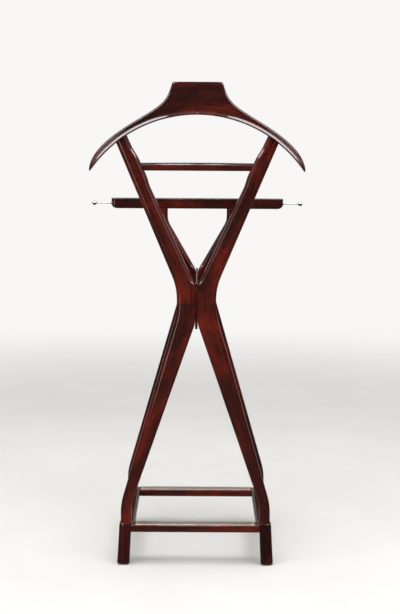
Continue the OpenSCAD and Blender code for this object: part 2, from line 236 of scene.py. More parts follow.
def place(piece, body, slot, material, *nodes):
    """Puts a piece on its body, in place of CAD nodes, with its finish."""
    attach(piece, body)
    if nodes:
        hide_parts(*nodes)
    piece.data.materials.clear()
    piece.data.materials.append(material)
    return piece


# ---- Limbs: lofts between two rails drawn on the front of the stand ----

SEAM_END = ((0.0, 0.45 * MM), (0.45 * MM, 0.0))
ROUND_END = (
    (0.0, 1.8 * MM),
    (0.25 * MM, 1.0 * MM),
    (0.8 * MM, 0.4 * MM),
    (1.8 * MM, 0.0),
)


class Rail:
    """A path of (x, z) points that is read by its share of the way along it."""

    def __init__(self, points):
        self.points = np.array(points, float)
        steps = np.hypot(*np.diff(self.points, axis=0).T)
        self.length = steps.sum()
        self.shares = np.concatenate([[0], np.cumsum(steps)]) / self.length

    def at(self, share):
        x = np.interp(share, self.shares, self.points[:, 0])
        z = np.interp(share, self.shares, self.points[:, 1])
        return np.array([x, z])


def thinned(shares, least, most):
    """Sorted shares, with close ones dropped and long gaps filled."""
    kept = [0.0]
    for share in sorted(shares) + [1.0]:
        gap = share - kept[-1]
        if gap < least and share < 1:
            continue
        parts = max(1, math.ceil(gap / most))
        start = kept[-1]
        kept += [start + gap * (k + 1) / parts for k in range(parts)]
    return kept


def loft_rails(name, inner, outer, depth, easing, ends, offset, tone_and_shade):
    """A limb between two rails: `easing(inner point)` gives the inner and outer corners."""
    y0, y1 = depth
    length = (inner.length + outer.length) / 2
    shares = thinned(
        [s for s in (*inner.shares, *outer.shares) if 0 < s < 1],
        0.6 * MM / length,
        22 * MM / length,
    )
    first = [(off / length, inset) for off, inset in ends[0]]
    last = [(1 - off / length, inset) for off, inset in reversed(ends[1])]
    body = [(s, 0.0) for s in shares if first[-1][0] + 1e-4 < s < last[0][0] - 1e-4]
    points, grain, wear = [], [], []
    for share, inset in first + body + last:
        start, stop = inner.at(share), outer.at(share)
        w = np.hypot(*(stop - start))
        corner_in, corner_out = easing(start)
        ring = section(w, y1 - y0, [corner_in, corner_out, corner_out, corner_in], inset)
        for u, v, worn in ring:
            x, z = start + (stop - start) * u / w
            points.append((x, y0 + v, z))
            grain.append((u + offset[0], v + offset[1], share * length + offset[2]))
            wear.append(worn)
    around = len(ring)
    faces = ring_faces(len(first + body + last), around)
    return make_mesh(name, points, faces, grain, wear, tone_and_shade)


def node_rails(node, side, past_top=0.0):
    """The inner and outer rails of a limb, read from its CAD outline, bottom to top."""
    edges = edges_of(node)
    low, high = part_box(node)
    points = edges.reshape(-1, 3)
    front = points[np.abs(points[:, Y] - low.y) < 1e-5]
    far = np.abs(points[:, X]).argmax() if past_top else None
    tops = {
        "inner": points[points[:, Z].argmax()][Z],
        "outer": points[far][Z] if past_top else high.z,
    }
    rails = []
    for which, pick in (("inner", 0), ("outer", 1)):
        levels = np.unique(np.round(front[:, Z], 5))
        levels = levels[(levels > low.z + 1e-5) & (levels < tops[which] - 1e-5)]
        path = []
        for z in (low.z + 1e-5, *levels, tops[which] - 2e-5):
            a, b = span(edges, Z, z, X)
            x = (min if pick == 0 else max)(abs(a), abs(b))
            path.append((side * x, z))
        path[0] = (path[0][0], low.z)
        path[-1] = (path[-1][0], tops[which])
        if past_top:
            step = np.subtract(path[-1], path[-3])
            path[-1] = tuple(path[-1] + past_top * step / np.hypot(*step))
        rails.append(Rail(path))
    return rails


def depth_of(node):
    low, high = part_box(node)
    return low.y, high.y


FACE_EASE = (7.0 * MM, 6.0 * MM)
OUTER_EASE = (8.5 * MM, 6.0 * MM)
LEAST_EASE = 0.5 * MM


def fork_easing(rail):
    """The inner corners open up where the limb leaves the waist board."""
    least = np.abs(rail.points[:, 0]).min()

    def easing(inner_point):
        open_by = np.clip((abs(inner_point[0]) - least) / (7 * MM), 0, 1)
        share = open_by * open_by * (3 - 2 * open_by)
        inner = tuple(LEAST_EASE + share * (size - LEAST_EASE) for size in FACE_EASE)
        return inner, OUTER_EASE

    return easing


def limb(node, side, offset, tone_and_shade, ends, past_top=0.0):
    inner, outer = node_rails(node, side, past_top)
    easing = fork_easing(inner)
    return loft_rails(
        f"{node}.wood", inner, outer, depth_of(node), easing, ends, offset, tone_and_shade
    )


# ---- Hanger ----

# The lip along the lower edge, and the crest's easing over the face and into its depth
LIP = 2.4 * MM
CREST_EASE = 3.2 * MM
CREST_DEEP = 4.4 * MM
COLLAR_ROUND = 5 * MM
# The flare above the lip: its height, how softly it ends, and its slope at the middle
# and out on the shoulders; the face above it leans back a little
FLARE_H = 4.8 * MM
FLARE_END = 0.8 * MM
FLARE_SLOPES = ((60 * MM, 0.34), (95 * MM, 0.62))
FACE_SLOPE = 0.08
FACE_STEPS = 18
# The collar's flat top keeps a crisper edge than the shoulders
FLAT_TOP_SHARPNESS = 4.5


def walk(path, step):
    """Points every `step` or less along a path, with the path's own sharp places kept."""
    rail = Rail(path)
    count = max(2, math.ceil(rail.length / step))
    return np.array([rail.at(k / count) for k in range(count + 1)])


def hanger_outline(edges, tip, top):
    """The upper outline from the middle to the tip, with the collar's corner rounded."""
    xs = np.linspace(0.3 * MM, tip - 0.15 * MM, 420)
    zs = np.array([span(edges, X, x, Z)[1] for x in xs])
    flat = xs[zs > top - 0.05 * MM].max()
    flank = [(x, z) for x, z in zip(xs, zs) if x > flat]
    corner = np.array([flat + 0.1 * MM, top])
    beyond = [p for p in flank if np.hypot(*(np.array(p) - corner)) > COLLAR_ROUND]
    start, end = corner - (COLLAR_ROUND, 0), np.array(beyond[0])
    bend = [
        start * (1 - t) ** 2 + corner * 2 * t * (1 - t) + end * t * t
        for t in np.linspace(0, 1, 9)
    ]
    flat_part = np.array([(0.0, top), tuple(start)])
    side_part = np.array([*map(tuple, bend), *beyond[1:]])
    return flat_part, side_part


def distance_to(path, points):
    """Each point's distance to a path of (x, z) points."""
    a, b = path[:-1], path[1:]
    along = b - a
    share = ((points[:, None] - a) * along).sum(-1) / np.maximum((along**2).sum(-1), 1e-12)
    near = a + np.clip(share, 0, 1)[..., None] * along
    return np.linalg.norm(points[:, None] - near, axis=-1).min(1)


def hanger_section(foot, up, height, edge_distance, half_low):
    """One half of a hanger section, as (height, half depth, wear) from bottom to top."""
    lip = min(LIP, 0.25 * height)
    flare = min(FLARE_H, 0.3 * height)
    slope = np.interp(foot[0], *zip(*FLARE_SLOPES)) - FACE_SLOPE
    heights = np.linspace(0, height, 90)
    distances = edge_distance(foot + np.outer(heights, up))
    scale = min(1.0, 0.62 * distances[np.searchsorted(heights, lip)] / CREST_EASE)
    corner = min(0.7 * MM, 0.4 * lip)

    def base(s):
        above = max(s - lip, 0)
        begun = np.logaddexp(0, flare / FLARE_END)
        left = np.logaddexp(0, (flare - above) / FLARE_END)
        return half_low - FACE_SLOPE * above - slope * FLARE_END * (begun - left)

    rows = [(0, 0, 0), (0, 0.55 * half_low, 0), (0, half_low - corner - SUPPORT, 0)]
    for a in np.linspace(0, math.pi / 2, 4):
        rows.append((corner * (1 - math.cos(a)), half_low - corner * (1 - math.sin(a)), 0.6))
    rows.append((lip, half_low - 0.02 * MM, 1))
    # Heights of the crest's eased edge, from the arris up to the outline
    order = np.argsort(-distances)
    levels = CREST_EASE * scale * (1 - np.sin(EASE_ANGLES) ** EASE_POWER)
    crest = np.interp(-levels, -distances[order], heights[order])
    crest = np.maximum.accumulate(crest)
    face_top = crest[0]
    for k in range(1, FACE_STEPS + 1):
        share = k / (FACE_STEPS + 1)
        s = lip + (face_top - lip) * share**1.5
        rows.append((s, base(s), 0.5 if k == 1 else 0))
    near = face_top - min(SUPPORT, 0.1 * (face_top - lip))
    rows.append((near, base(near), 0))
    drops = min(CREST_DEEP, 0.4 * half_low) * (1 - np.cos(EASE_ANGLES) ** EASE_POWER)
    for s, drop, worn in zip(crest, drops, arris_wear(EASE_ANGLES)):
        rows.append((s, base(face_top) - drop, worn))
    edge = base(face_top) - drops[-1]
    rows.append((height, edge - min(SUPPORT, 0.2 * edge), 0))
    rows.append((height, 0, 0))
    return np.array(rows)


def hanger_half(side_name, tone_and_shade, offset):
    node, side = f"hanger_{side_name}", SIDES[side_name]
    edges = edges_of(node) * (side, 1, 1)
    low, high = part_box(node)
    tip = max(abs(low.x), abs(high.x))
    crown = span(edges, X, 0.3 * MM, Z)[0]
    drop = crown - low.z
    radius = (tip * tip + drop * drop) / (2 * drop)
    centre = np.array([0.0, crown - radius])
    flat_part, side_part = hanger_outline(edges, tip, high.z)
    middle_y = (low.y + high.y) / 2
    outline = np.vstack([
        walk(flat_part, 7 * MM), walk(side_part[:9], 0.8 * MM)[1:], walk(side_part[8:], 3 * MM)[1:]
    ])

    def edge_distance(points):
        to_flat = FLAT_TOP_SHARPNESS * distance_to(flat_part, points)
        to_side = distance_to(side_part, points)
        blend = 2 * MM
        return -blend * np.logaddexp(-to_flat / blend, -to_side / blend)

    points, grain, wear = [], [], []
    stations = [(p, 0.0) for p in outline if np.hypot(*(p - centre)) - radius > 2.2 * MM]
    stations = [(stations[0][0], 0.3 * MM), (stations[0][0] + (0.3 * MM, 0), 0.0), *stations[1:]]
    last = stations[-1][0]
    stations += [(last, 0.35 * MM), (last, 0.9 * MM)]
    for number, (upper, inset) in enumerate(stations):
        ray = upper - centre
        reach = np.hypot(*ray)
        up = ray / reach
        foot = centre + radius * up
        height = reach - radius
        front, back = span(edges, X, min(foot[0] + 0.3 * MM, tip - 0.2 * MM), Y)
        half_low = (back - front) / 2
        half = hanger_section(foot, up, height, edge_distance, half_low)
        ring = np.vstack([half * (1, -1, 1), half[-2:0:-1]])
        if inset:
            ring[:, 0] += np.sign(height / 2 - ring[:, 0]) * np.minimum(inset, height * 0.3)
            ring[:, 1] -= np.sign(ring[:, 1]) * np.minimum(inset, np.abs(ring[:, 1]) * 0.5)
        push = 0.5 * MM * (len(stations) - 1 == number)
        for s, v, worn in ring:
            x, z = foot + up * s + push * np.array([up[1], -up[0]])
            points.append((side * x, middle_y + v, z))
            grain.append((s + offset[0], v + offset[1], math.atan2(*up) * radius + offset[2]))
            wear.append(worn)
    around = len(ring)
    return make_mesh(f"{node}.wood", points, ring_faces(len(stations), around), grain, wear, tone_and_shade)


# ---- Straight pieces ----


def bar_between_limbs(node, easing, tone_and_shade, offset):
    """A bar whose ends lie against leaning limbs: its rails follow its CAD outline."""
    edges = edges_of(node)
    low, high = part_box(node)
    corners = edges.reshape(-1, 3)
    end_top = corners[(np.abs(corners[:, X]) + corners[:, Z]).argmax()][Z]
    bottom = span(edges, Z, low.z + 1e-5, X)
    top = np.array(span(edges, Z, end_top - 1e-5, X))
    lower = Rail([(x, low.z) for x in bottom])
    between = np.linspace(*top * (1 - 1e-4), 25)
    path = [(x, span(edges, X, x, Z)[1]) for x in between]
    upper = Rail([(top[0], end_top), *path[1:-1], (top[1], end_top)])
    return loft_rails(
        f"{node}.wood", lower, upper, (low.y, high.y), lambda start: easing,
        (SEAM_END, SEAM_END), offset, tone_and_shade,
    )


def along_y(name, low, high, easing, ends, offset, tone_and_shade):
    """A straight piece that runs from front to back, with its grain along it."""
    w, d = high.x - low.x, high.z - low.z
    length = high.y - low.y
    stations = [(off, inset) for off, inset in ends]
    middle = [(length * k / 12, 0.0) for k in range(1, 12)]
    stations += middle + [(length - off, inset) for off, inset in reversed(ends)]
    points, grain, wear = [], [], []
    for along, inset in stations:
        ring = section(w, d, easing, inset)
        for u, v, worn in ring:
            points.append((low.x + u, low.y + along, low.z + v))
            grain.append((u + offset[0], v + offset[1], along + offset[2]))
            wear.append(worn)
    return make_mesh(name, points, ring_faces(len(stations), len(ring)), grain, wear, tone_and_shade)


# ---- Trouser bar: outlines in plan, stacked from the underside to the top ----

BAR_LIP = 4.6 * MM
BAR_STEP = 0.9 * MM
BAR_PLAN_ROUND = 9 * MM
BAR_UNDER = 3.5 * MM
BAR_END_UNDER = 12 * MM


def plan_ring(half_l, half_d, radius, z, centre):
    """A rounded rectangle seen from above."""
    points = []
    radius = min(radius, half_d - 0.2 * MM)
    for sx, sy, start in ((1, -1, -90), (1, 1, 0), (-1, 1, 90), (-1, -1, 180)):
        corner = (sx * (half_l - radius), sy * (half_d - radius))
        for k in range(9):
            a = math.radians(start + 90 * k / 8)
            points.append((corner[0] + radius * math.cos(a), corner[1] + radius * math.sin(a)))
        if sy == sx:
            points.extend((x * (half_l - radius), sy * half_d)
                          for x in np.linspace(sx * 0.99, -sx * 0.99, 24))
    return [(centre[0] + x, centre[1] + y, z) for x, y in points]


def bar_profile(height):
    """(height, inset of the long sides) of the trouser bar, bottom to top."""
    rows = []
    for a in np.linspace(0, math.pi / 2, 9):
        rows.append((BAR_UNDER * (1 - math.cos(a)), BAR_STEP + BAR_UNDER * (1 - math.sin(a))))
    neck = height - BAR_LIP
    rows += [(up, BAR_STEP) for up in np.linspace(BAR_UNDER, neck - 0.5 * MM, 10)[1:]]
    round_low, round_top = 0.5 * MM, 1.6 * MM
    for a in np.linspace(0, math.pi / 2, 4):
        rows.append((neck + round_low * (1 - math.cos(a)), round_low * (1 - math.sin(a))))
    rows.append((height - round_top - 0.3 * MM, 0))
    for a in np.linspace(0, math.pi / 2, 6):
        rows.append((height - round_top * (1 - math.sin(a)), round_top * (1 - math.cos(a))))
    rows += [(height, round_top + 0.8 * MM), (height, 6 * MM), (height, 11 * MM)]
    return rows


def bar_end_inset(up, inset, height):
    """How far the bar's ends stand in at a height: a large round below, plain above."""
    if up < BAR_END_UNDER:
        rise = 1 - up / BAR_END_UNDER
        return max(inset - BAR_STEP, 0) * 0.3 + BAR_END_UNDER * (1 - math.sqrt(1 - rise * rise))
    return inset if up > height - BAR_STEP - 2 * MM else 0.25 * min(inset, BAR_STEP)


def lathe(profile, axis, centre, segments=48):
    """Points of a turned piece: `profile` holds (place along the axis, radius)."""
    others = [k for k in range(3) if k != axis]
    rings = []
    for place_on, radius in profile:
        for k in range(segments):
            a = 2 * math.pi * k / segments
            point = [0.0, 0.0, 0.0]
            point[axis] = place_on
            point[others[0]] = centre[0] + radius * math.cos(a)
            point[others[1]] = centre[1] + radius * math.sin(a)
            rings.append(tuple(point))
    return rings


def turned(name, profile, axis, centre, segments=48, closed=False):
    """A turned piece; `closed` joins the profile's end to its start, as in a tube."""
    points = lathe(profile, axis, centre, segments)
    faces = ring_faces(len(profile), segments, not closed)
    if closed:
        last = (len(profile) - 1) * segments
        faces += [(last + k, last + (k + 1) % segments, (k + 1) % segments, k)
                  for k in range(segments)]
    mesh = bpy.data.meshes.new(name)
    mesh.from_pydata(points, [], faces)
    return finish_mesh(name, mesh, sharp=SHARP_METAL)


def cut(piece, cutter):
    """Takes a cutter out of a piece, and removes the cutter."""
    change = piece.modifiers.new("cut", "BOOLEAN")
    change.operation, change.solver, change.object = "DIFFERENCE", "EXACT", cutter
    graph = bpy.context.evaluated_depsgraph_get()
    result = bpy.data.meshes.new_from_object(piece.evaluated_get(graph))
    piece.modifiers.clear()
    piece.data = result
    bpy.data.objects.remove(cutter)


# Room in the bar behind a rod, for its travel inwards
ROD_ROOM = 37 * MM
PAST_END = 4 * MM


def bore_profile(name, side, half_l):
    """The hole for one tie rod: room for the stop inside, and the bush's seat outside."""
    bush_low, bush_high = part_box(f"{name}_bush")
    rod_low, rod_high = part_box(f"{name}_tie_rod")
    stop_low, stop_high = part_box(f"{name}_rod_stop")
    seat = min(abs(bush_low.x), abs(bush_high.x))
    deepest = min(abs(rod_low.x), abs(rod_high.x)) - ROD_ROOM
    bore = (stop_high.z - stop_low.z) / 2 + 0.1 * MM
    fit = (bush_high.z - bush_low.z) / 2 + 0.05 * MM
    rows = ((deepest, bore), (seat, bore), (seat, fit), (half_l + PAST_END, fit))
    return [(side * x, radius) for x, radius in rows]


def trouser_bar(offset, tone_and_shade):
    node = "trouser_bar"
    low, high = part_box(node)
    half_l, half_d = (high.x - low.x) / 2, (high.y - low.y) / 2
    centre = ((low.x + high.x) / 2, (low.y + high.y) / 2)
    points, rings = [], 0
    height = high.z - low.z
    for up, inset in bar_profile(height):
        radius = max(BAR_PLAN_ROUND - inset, 1 * MM)
        end_inset = bar_end_inset(up, inset, height)
        ring = plan_ring(half_l - end_inset, half_d - inset, radius, low.z + up, centre)
        points += ring
        rings += 1
    mesh = bpy.data.meshes.new(f"{node}.wood")
    mesh.from_pydata(points, [], ring_faces(rings, len(ring)))
    piece = finish_mesh(f"{node}.wood", mesh)
    bar_z = sum(c.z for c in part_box("left_tie_rod")) / 2
    for name, side in SIDES.items():
        profile = bore_profile(name, side, half_l)
        cut(piece, turned("bore", profile, X, (centre[1], bar_z)))
    mesh = piece.data
    count = len(mesh.vertices)
    co = np.empty(count * 3)
    mesh.vertices.foreach_get("co", co)
    co = co.reshape(-1, 3)
    add_attributes(mesh, co[:, [2, 1, 0]] + offset, np.zeros(count), tone_and_shade)
    return smoothed(piece, SHARP_BAR)


# ---- Metal pieces and glides ----

CHAMFER = 0.35 * MM


def join(name, pieces):
    """One piece made of several, which are removed."""
    bm = bmesh.new()
    for piece in pieces:
        bm.from_mesh(piece.data)
    mesh = bpy.data.meshes.new(name)
    bm.to_mesh(mesh)
    bm.free()
    for piece in pieces:
        bpy.data.objects.remove(piece)
    return finish_mesh(name, mesh, sharp=SHARP_METAL)


def pin_profile(start, end, radius, tip):
    """A rod from start to end, its ends eased over a length of `tip`."""
    towards = math.copysign(1, end - start)
    rows = [(start, TIP)]
    for a in np.linspace(0, math.pi / 2, 5):
        rows.append((start + towards * tip * (1 - math.cos(a)), radius - tip * (1 - math.sin(a))))
    for a in np.linspace(math.pi / 2, 0, 5):
        rows.append((end - towards * tip * (1 - math.cos(a)), radius - tip * (1 - math.sin(a))))
    return [*rows, (end, TIP)]


def tube_profile(start, end, bore, radius):
    """A tube from start to end with chamfered rims, as a closed outline."""
    c = math.copysign(CHAMFER, end - start)
    return [
        (start, bore + CHAMFER), (start, radius - CHAMFER), (start + c, radius),
        (end - c, radius), (end, radius - CHAMFER), (end, bore + CHAMFER),
        (end - c, bore), (start + c, bore),
    ]


def ball_profile(centre, radius, side, neck):
    """A ball on a short turned neck, from the neck's inner end to the ball's pole."""
    low, reach = neck
    rows = [(centre - side * reach, TIP), (centre - side * reach, low - 0.3 * MM),
            (centre - side * (reach - 0.25 * MM), low),
            (centre - side * (reach - 0.6 * MM), low),
            (centre - side * (reach - 0.8 * MM), low - 0.4 * MM)]
    start = math.asin(min((low - 0.4 * MM) / radius, 1))
    for a in np.linspace(start, math.pi - 0.01, 22):
        rows.append((centre - side * radius * math.cos(a), radius * math.sin(a)))
    return rows


def tie_rod_pieces(name, side):
    """The turned pieces of one tie rod and its bush, each with its node."""
    rod_low, rod_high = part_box(f"{name}_tie_rod")
    centre = ((rod_low.y + rod_high.y) / 2, (rod_low.z + rod_high.z) / 2)
    radius = (rod_high.z - rod_low.z) / 2
    ends = {}
    for kind in ("tie_rod", "bush", "rod_ball", "rod_stop"):
        low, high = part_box(f"{name}_{kind}")
        near, far = sorted((low.x, high.x), key=abs)
        ends[kind] = (near, far, (high.z - low.z) / 2)
    near, far, _ = ends["tie_rod"]
    profiles = {"tie_rod": (pin_profile(near, far, radius, 0.5 * MM), False)}
    near, far, outer = ends["bush"]
    profiles["bush"] = (tube_profile(near, far, radius + 0.12 * MM, outer), True)
    near, far, outer = ends["rod_stop"]
    profiles["rod_stop"] = (tube_profile(near, far, radius, outer), True)
    near, far, _ = ends["rod_ball"]
    outer = abs(far - near) / 2
    neck = (radius + 1.0 * MM, outer + 0.5 * MM)
    profiles["rod_ball"] = (ball_profile((near + far) / 2, outer, side, neck), False)
    return {
        kind: turned(f"{name}_{kind}.metal", profile, X, centre, closed=closed)
        for kind, (profile, closed) in profiles.items()
    }


STRIP_CROWN = 0.35 * MM
STRIP_EDGE = 0.9 * MM


def strip_ring(low, high, inset):
    """A strip's section in Y and Z: flat below, a little crowned above, its edges rounded."""
    middle, half = (low.y + high.y) / 2, (high.y - low.y) / 2 - inset
    top, bottom = high.z - 0.6 * inset, low.z
    round_z = top - STRIP_CROWN
    ring = [(middle + half * share, bottom) for share in np.linspace(0.98, -0.98, 7)]
    ring.append((middle - half, bottom + 0.1 * MM))
    for side in (-1, 1):
        angles = np.linspace(0, math.pi / 2, 5) if side < 0 else np.linspace(math.pi / 2, 0, 5)
        if side > 0:
            flat = half - STRIP_EDGE
            for share in np.linspace(-0.96, 0.96, 15):
                ring.append((middle + flat * share, round_z + STRIP_CROWN * (1 - share**2)))
        for a in angles:
            y = half - STRIP_EDGE * (1 - math.cos(a))
            ring.append((middle + side * y, round_z - STRIP_EDGE * (1 - math.sin(a))))
    ring.append((middle + half, bottom + 0.1 * MM))
    return ring


def strip(node, screws):
    """A brass strip with countersunk holes for its screws."""
    low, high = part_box(node)
    ends = [(0.0, 0.45 * MM), (0.13 * MM, 0.2 * MM), (0.45 * MM, 0.0)]
    length = high.x - low.x
    middle = [(length * k / 16, 0.0) for k in range(1, 16)]
    stations = ends + middle + [(length - off, inset) for off, inset in reversed(ends)]
    points = [
        (low.x + along, y, z)
        for along, inset in stations
        for y, z in strip_ring(low, high, inset)
    ]
    mesh = bpy.data.meshes.new(f"{node}.metal")
    mesh.from_pydata(points, [], ring_faces(len(stations), len(points) // len(stations)))
    piece = finish_mesh(f"{node}.metal", mesh, sharp=SHARP_METAL)
    cutters = []
    for screw_low, screw_high in screws:
        if not low.y < screw_low.y < high.y:
            continue
        x, y = (screw_low.x + screw_high.x) / 2, (screw_low.y + screw_high.y) / 2
        radius = (screw_high.x - screw_low.x) / 2
        profile = [(low.z - 1 * MM, radius - 1.2 * MM), (low.z, radius - 1.2 * MM),
                   (high.z - 0.15 * MM, radius + 0.15 * MM), (high.z + 1 * MM, radius + 0.15 * MM)]
        cutters.append(turned("hole", profile, Z, (x, y), segments=32))
    cut(piece, join("holes", cutters))
    return smoothed(piece, SHARP_METAL)


def smoothed(piece, sharp):
    """Smooth shading, with the edges sharper than an angle kept."""
    mesh = piece.data
    mesh.polygons.foreach_set("use_smooth", [True] * len(mesh.polygons))
    mesh.set_sharp_from_angle(angle=math.radians(sharp))
    return piece


def slotted_screw(low, high, turn):
    """A slotted screw with a raised countersunk head, turned by an angle."""
    x, y = (low.x + high.x) / 2, (low.y + high.y) / 2
    head, shank = (high.x - low.x) / 2 - 0.05 * MM, (high.x - low.x) / 2 - 1.3 * MM
    top, dome, sink = high.z - 0.45 * MM, 0.45 * MM, 1.4 * MM
    profile = [(low.z, TIP), (low.z + 1.5 * MM, shank), (top - sink, shank)]
    profile += [(top - 0.1 * MM, head), (top, head - 0.02 * MM)]
    for share in (0.92, 0.8, 0.6, 0.4, 0.2, 0.02):
        profile.append((top + dome * (1 - share**2), head * share))
    piece = turned("screw", profile, Z, (x, y), segments=32)
    slot_half = Vector((head * 1.2, 0.35 * MM, 0))
    corners = [(sx * slot_half.x, sy * slot_half.y, z)
               for z in (top - 0.35 * MM, top + 1 * MM)
               for sx, sy in ((-1, -1), (1, -1), (1, 1), (-1, 1))]
    mesh = bpy.data.meshes.new("slot")
    mesh.from_pydata(corners, [], ring_faces(2, 4))
    slot = finish_mesh("slot", mesh)
    slot.data.transform(Matrix.Translation((x, y, 0)) @ Matrix.Rotation(turn, 4, "Z"))
    cut(piece, slot)
    return piece


def glide(low, high, thick):
    """A glide with a rounded foot, and its nail."""
    centre = ((low.x + high.x) / 2, (low.y + high.y) / 2)
    radius, nail, curve = (high.x - low.x) / 2, 1.15 * MM, 1.3 * MM
    profile = [(low.z, TIP), (low.z, radius - 2.2 * MM)]
    for a in np.linspace(0.15, math.pi / 2, 6):
        profile.append((low.z + curve * (1 - math.cos(a)), radius - curve * (1 - math.sin(a))))
    profile += [(low.z + thick - 0.3 * MM, radius), (low.z + thick - 0.02 * MM, radius - 0.3 * MM)]
    profile += [(low.z + thick - 0.02 * MM, nail), (high.z - 2 * MM, nail), (high.z, TIP)]
    return turned("glide", profile, Z, centre, segments=40)


# ---- Materials ----


class Wires:
    """Wires one node tree."""

    def __init__(self, owner):
        owner.use_nodes = True
        self.tree = owner.node_tree

    def add(self, kind, links=None, values=None, **settings):
        """A new node; `links` feed its inputs from sockets, `values` set them."""
        made = self.tree.nodes.new(f"ShaderNode{kind}")
        for key, value in settings.items():
            setattr(made, key, value)
        for key, value in (values or {}).items():
            made.inputs[key].default_value = value
        for key, socket in (links or {}).items():
            self.tree.links.new(socket, made.inputs[key])
        return made

    def give(self, node, key, value):
        """Feeds an input from a socket, or sets it to a plain value."""
        if isinstance(value, bpy.types.NodeSocket):
            self.tree.links.new(value, node.inputs[key])
        else:
            node.inputs[key].default_value = value

    def attribute(self, name, output="Fac"):
        return self.add("Attribute", attribute_name=name).outputs[output]

    def noise(self, place, stretch, detail=3.0, roughness=0.55, distortion=0.0, scale=1.0):
        """A noise in a stretched copy of the coordinates, per metre along each of them."""
        stretched = self.add(
            "VectorMath", {0: place}, {1: stretch}, operation="MULTIPLY"
        ).outputs[0]
        return self.add(
            "TexNoise",
            {"Vector": stretched},
            {"Scale": scale, "Detail": detail, "Roughness": roughness, "Distortion": distortion},
        ).outputs["Fac"]

    def ramp(self, factor, *stops):
        """A colour or value ramp of (place, value) stops."""
        made = self.add("ValToRGB", {"Fac": factor})
        elements = made.color_ramp.elements
        while len(elements) < len(stops):
            elements.new(0.5)
        for element, (at, value) in zip(elements, stops):
            element.position = at
            colour = value if hasattr(value, "__len__") else (value,) * 3
            element.color = (*colour, 1)
        return made.outputs["Color"]

    def mix(self, factor, a, b, blend="MIX"):
        made = self.add("Mix", data_type="RGBA", blend_type=blend)
        for key, value in ((0, factor), (6, a), (7, b)):
            self.give(made, key, value)
        return made.outputs[2]

    def maths(self, operation, *values):
        made = self.add("Math", operation=operation)
        for key, value in enumerate(values):
            self.give(made, key, value)
        return made.outputs[0]

    def bump(self, height, distance, strength=1.0, onto=None):
        links = {"Height": height}
        if onto is not None:
            links["Normal"] = onto
        return self.add(
            "Bump", links, {"Strength": strength, "Distance": distance}
        ).outputs["Normal"]


class Shader(Wires):
    """A material round one principled shader, with constants set on its own sockets."""

    def __init__(self, name, **constants):
        self.material = bpy.data.materials.new(name)
        super().__init__(self.material)
        self.surface = self.tree.nodes["Principled BSDF"]
        for socket, value in constants.items():
            self.surface.inputs[socket.replace("_", " ")].default_value = value

    def feed(self, **sockets):
        for socket, output in sockets.items():
            self.tree.links.new(output, self.surface.inputs[socket.replace("_", " ")])
        return self.material


def mahogany():
    """Dark red-brown mahogany under a glossy lacquer, with pores, figure, a little rub, red
    mottles that are partly painted sheen, and painted light and shade by piece.
    """
    s = Shader(
        "mahogany", Coat_Weight=1.0, Coat_Roughness=0.09, Coat_IOR=1.5, IOR=1.45,
        Specular_IOR_Level=0.06,
    )
    place = s.attribute("grain", "Vector")
    fibre = s.noise(place, (1100, 1100, 34), detail=4, roughness=0.6)
    ribbon = s.noise(place, (120, 60, 4), detail=3, roughness=0.55, distortion=0.9)
    mottle_and_sheen = s.noise(place, (46, 46, 24), detail=4, roughness=0.6, distortion=0.6)
    cloud = s.noise(place, (13, 13, 6), detail=2)
    pores = s.noise(place, (2600, 2600, 130), detail=1.5, roughness=0.4)
    streak = s.maths("ADD", s.maths("MULTIPLY", ribbon, 0.72), s.maths("MULTIPLY", fibre, 0.28))
    wood = s.ramp(
        streak,
        (0.36, (0.022, 0.0030, 0.0019)),
        (0.49, (0.052, 0.0062, 0.0034)),
        (0.62, (0.085, 0.0115, 0.0056)),
    )
    # Red mottles: the wood's figure, partly a painted sheen standing in for the lacquer's shimmer
    # across the grain
    red = s.ramp(mottle_and_sheen, (0.44, 0.0), (0.68, 1.0))
    wood = s.mix(s.maths("MULTIPLY", red, 0.6), wood, (0.150, 0.013, 0.006, 1))
    shade = s.ramp(cloud, (0.42, 0.0), (0.60, 1.0))
    wood = s.mix(s.maths("MULTIPLY", shade, 0.75), wood, (0.012, 0.0030, 0.0022, 1))
    dark = s.ramp(pores, (0.30, 1.0), (0.40, 0.0))
    wood = s.mix(s.maths("MULTIPLY", dark, 0.35), wood, (0.008, 0.0020, 0.0016, 1))
    # Painted light and shade: each piece's tone mixes a darker, cooler shaded copy of the wood (0)
    # with a brighter, warmer lit copy (1)
    tone_and_shade = s.attribute("tone_and_shade")
    deep = s.mix(1.0, wood, (0.45, 0.47, 0.52, 1), "MULTIPLY")
    wood = s.mix(tone_and_shade, deep, s.mix(1.0, wood, (2.2, 1.9, 1.8, 1), "MULTIPLY"))
    rubbing = s.ramp(s.noise(place, (90, 90, 30)), (0.45, 0.0), (0.75, 0.45))
    rub = s.maths("MULTIPLY", s.attribute("wear"), rubbing)
    wood = s.mix(rub, wood, (0.17, 0.038, 0.018, 1))
    rough = s.ramp(s.noise(place, (55, 55, 20), detail=3), (0.3, 0.30), (0.75, 0.46))
    rough = s.maths("ADD", rough, s.maths("MULTIPLY", rub, 0.15))
    ripple = s.noise(place, (24, 24, 9), detail=1.0)
    soft = s.bump(ripple, 0.0002, 0.15)
    fine = s.bump(fibre, 0.00003, 0.4, onto=soft)
    pitted = s.bump(s.maths("SUBTRACT", 1.0, dark), 0.00005, 0.4, onto=fine)
    s.tree.links.new(soft, s.surface.inputs["Coat Normal"])
    return s.feed(Base_Color=wood, Roughness=rough, Normal=pitted)


def object_place(s):
    return s.add("TexCoord").outputs["Object"]


def beech():
    s = Shader("beech", IOR=1.45)
    place = object_place(s)
    fleck = s.noise(place, (900, 900, 160), detail=4)
    wood = s.ramp(fleck, (0.35, (0.36, 0.21, 0.10)), (0.65, (0.56, 0.37, 0.20)))
    rough = s.ramp(fleck, (0.3, 0.55), (0.7, 0.72))
    return s.feed(Base_Color=wood, Roughness=rough, Normal=s.bump(fleck, 0.0001, 0.6))


